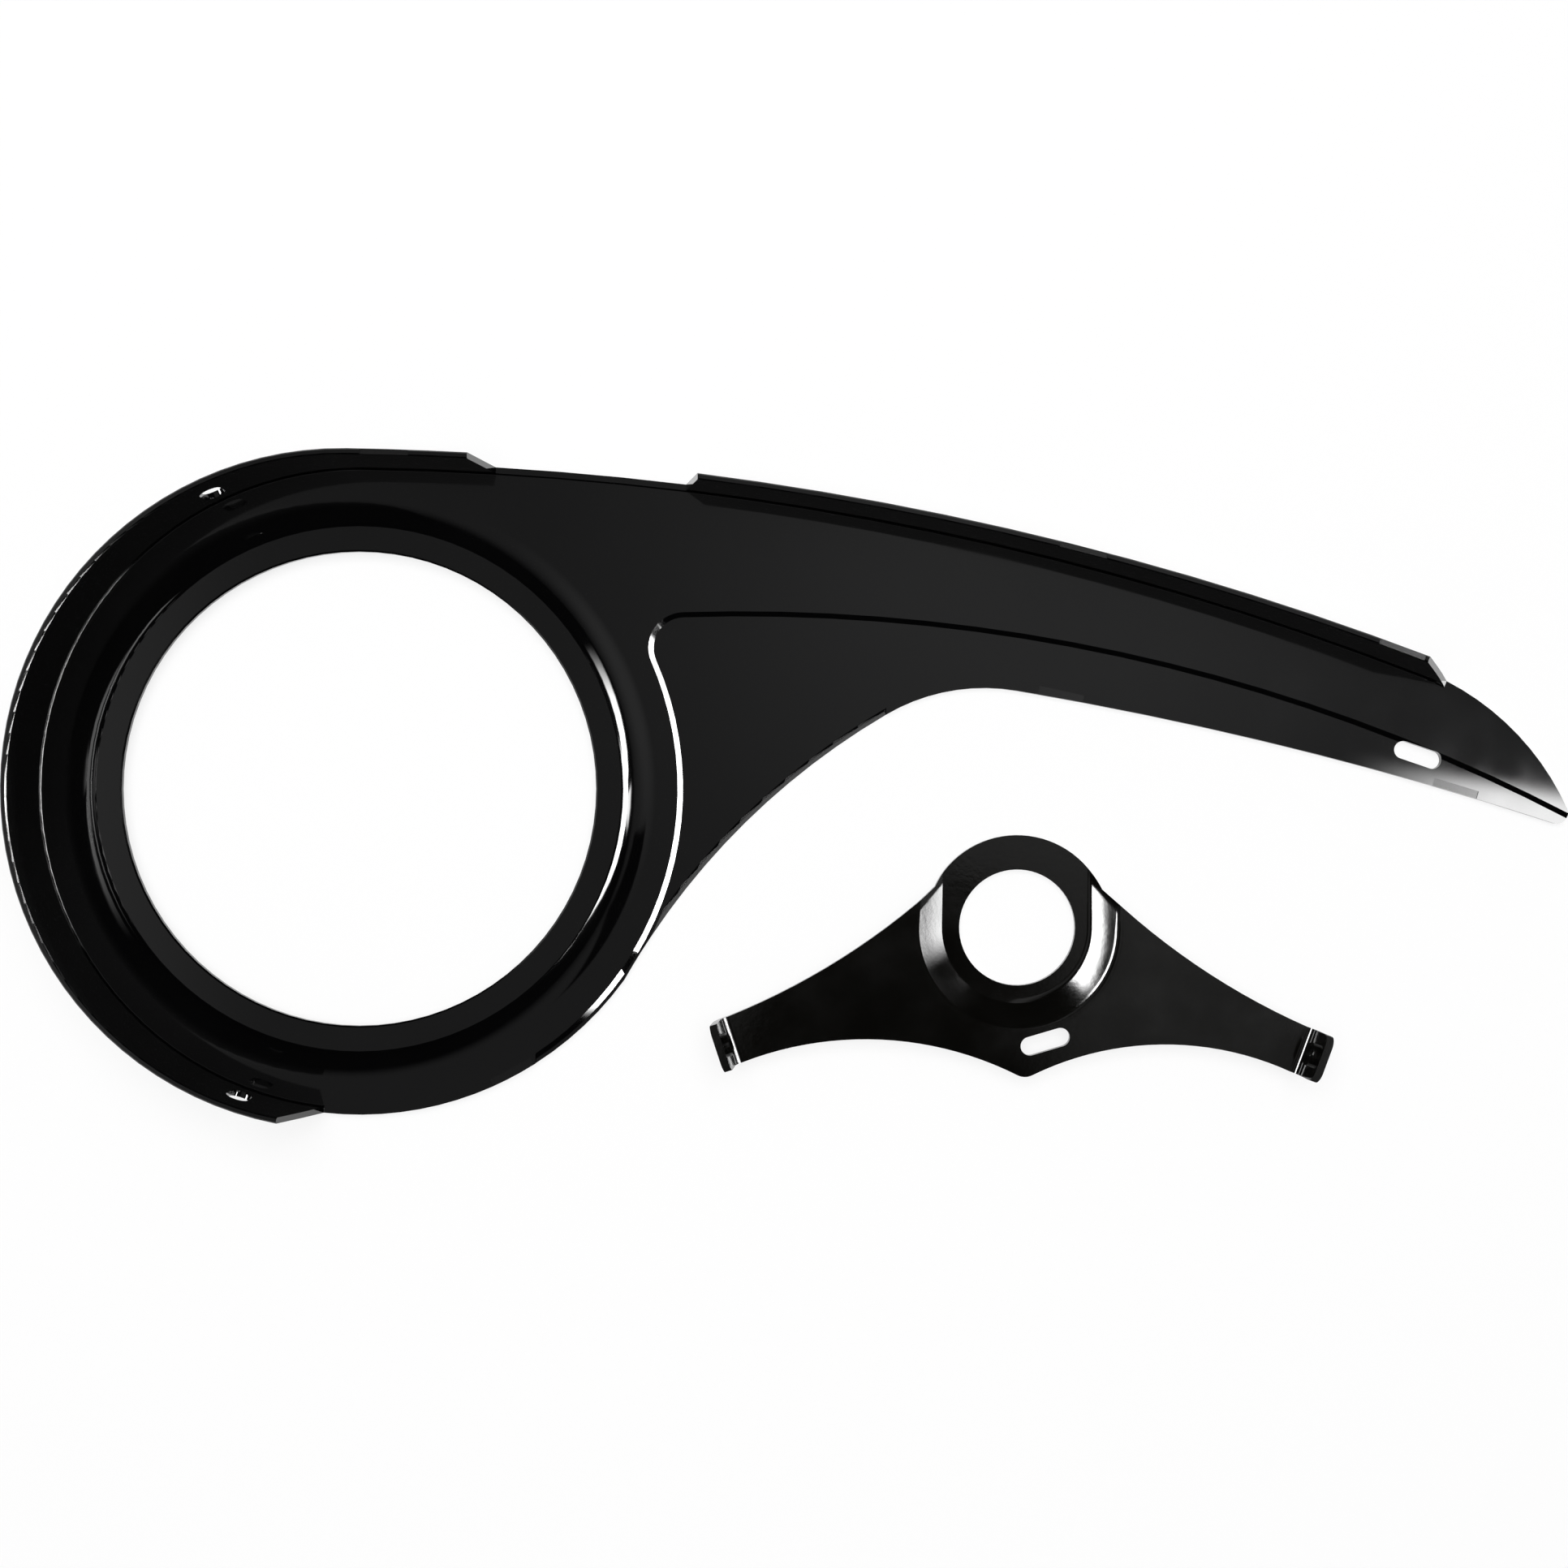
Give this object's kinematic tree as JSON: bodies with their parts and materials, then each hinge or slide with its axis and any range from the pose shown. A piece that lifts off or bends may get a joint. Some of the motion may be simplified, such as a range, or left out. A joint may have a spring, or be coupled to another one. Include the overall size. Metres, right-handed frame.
{
  "type": "bicycle chain guard",
  "caption": "Black plastic bicycle chain guard: round chainring cover with a crank opening, long flanged tail over the upper chain run, and its separate steel mounting bracket.",
  "frame": {"origin": "on the crank axis, at the level of the surface that the guard lies on", "axes": "+X along the tail, +Y towards the flanged top edge, +Z along the crank axis towards the bicycle, up as it lies"},
  "size_m": [0.4627, 0.1966, 0.032],
  "materials": {
    "guard_plastic": "mirror-gloss black injection-moulded plastic",
    "bracket_paint": "gloss black paint on pressed sheet steel"
  },
  "bodies": {
    "root": {"guard_shell": "guard_plastic", "mounting_bracket": "bracket_paint"}
  },
  "joints": []
}
